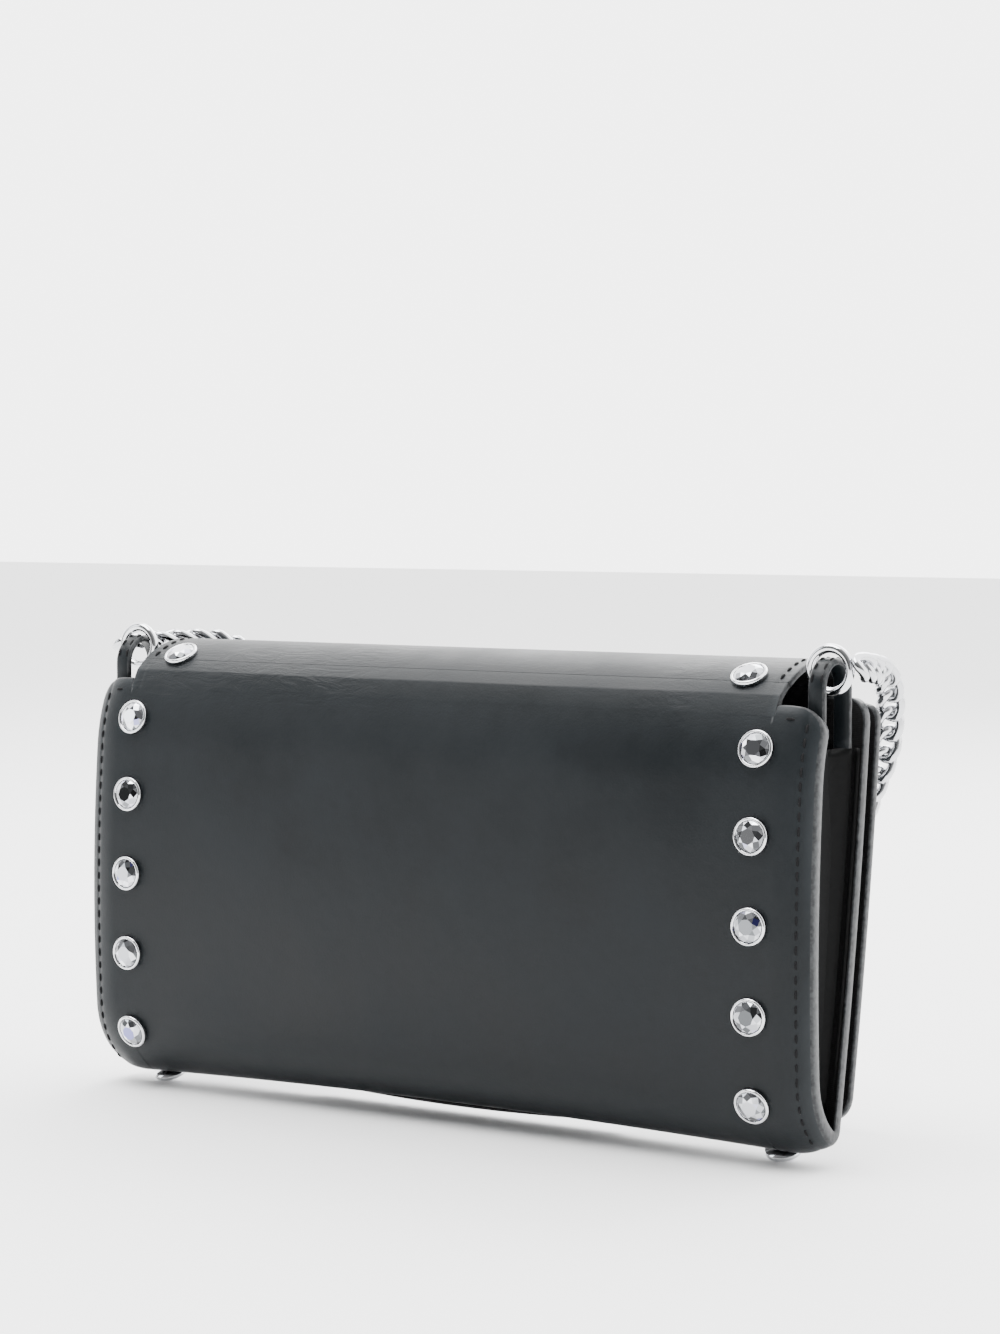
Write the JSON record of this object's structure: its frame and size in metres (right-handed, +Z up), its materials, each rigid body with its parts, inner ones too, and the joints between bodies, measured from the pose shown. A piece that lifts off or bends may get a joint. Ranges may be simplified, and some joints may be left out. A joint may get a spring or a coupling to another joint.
{
  "type": "chain wallet",
  "caption": "Black leather clutch wallet with fold-over flap, crystal studs, leather loops, rings and a bundled chain strap; flap opens, inner zip slides.",
  "frame": {"origin": "on the floor under the middle of the wallet, chain left out", "axes": "+X along the width, towards the wearer's left when the flap faces forward; +Y to the plain back; +Z up"},
  "size_m": [0.2063, 0.1157, 0.1094],
  "materials": {
    "black_leather": "smooth, satin",
    "gusset_leather": "smooth, satin",
    "inner_leather": "fine grain, matt",
    "board": "bonded leather board, raw",
    "zip_tape": "woven",
    "zip_metal": "polished",
    "snap_steel": "satin",
    "bright_metal": "polished",
    "crystal": "cut and foil backed",
    "chain_metal": "polished",
    "tie_thread": "waxed black cord"
  },
  "bodies": {
    "wallet_body": {"body_leather": "black_leather", "rear_board": "board", "front_board": "board", "body_lining": "inner_leather", "gusset_left": "gusset_leather", "gusset_right": "gusset_leather", "slip_pocket_leaf": "inner_leather", "card_leaf_1": "inner_leather", "card_leaf_2": "inner_leather", "card_leaf_3": "inner_leather", "zip_pocket": "inner_leather", "zip_tape_rear": "zip_tape", "zip_tape_front": "zip_tape", "zip_teeth_rear": "zip_metal", "zip_teeth_front": "zip_metal", "zip_stops": "zip_metal", "snap_socket": "snap_steel", "snap_socket_washer": "snap_steel", "rear_left_stud_cups": "bright_metal", "rear_left_stud_crystals": "crystal", "rear_right_stud_cups": "bright_metal", "rear_right_stud_crystals": "crystal", "foot_stud_cups": "bright_metal", "foot_stud_crystals": "crystal", "leather_loop_left": "black_leather", "leather_loop_right": "black_leather", "chain_ring_left": "bright_metal", "chain_ring_right": "bright_metal", "chain_left": "chain_metal", "chain_right": "chain_metal", "chain_hank": "chain_metal", "chain_tie": "tie_thread"},
    "flap_strip": {"strip_leather": "black_leather", "strip_lining": "inner_leather", "top_stud_cups": "bright_metal", "top_stud_crystals": "crystal"},
    "flap_leaf": {"leaf_leather": "black_leather", "leaf_board": "board", "leaf_lining": "inner_leather", "front_left_stud_cups": "bright_metal", "front_left_stud_crystals": "crystal", "front_right_stud_cups": "bright_metal", "front_right_stud_crystals": "crystal", "snap_stud": "snap_steel", "snap_stud_washer": "snap_steel", "bar_plate": "bright_metal", "bar_stones": "crystal", "bar_pins": "bright_metal"},
    "zip_slider": {"zip_slider": "zip_metal"},
    "zip_pull": {"zip_pull": "zip_metal"}
  },
  "joints": [
    {"name": "flap_lift", "type": "hinge", "parent": "wallet_body", "child": "flap_strip", "pos_m": [0, 0.00965, 0.0989], "axis": [-1, 0, 0], "range_deg": [0, 150], "deforming": ["chain_left", "chain_right"]},
    {"name": "flap_unfold", "type": "hinge", "parent": "flap_strip", "child": "flap_leaf", "pos_m": [0, -0.0134, 0.10374], "axis": [-1, 0, 0], "range_deg": [0, 75], "deforming": ["chain_left", "chain_right"]},
    {"name": "zip_slide", "type": "slide", "parent": "wallet_body", "child": "zip_slider", "axis": [-1, 0, 0], "range_m": [0, 0.124]},
    {"name": "zip_pull_swing", "type": "hinge", "parent": "zip_slider", "child": "zip_pull", "pos_m": [0.062, -0.00042, 0.07948], "axis": [0, 0.9945, 0.1045], "range_deg": [0, 175]}
  ],
  "couplings": [
    {"joint": "flap_unfold", "follows": "flap_lift", "ratio": 0.5}
  ]
}
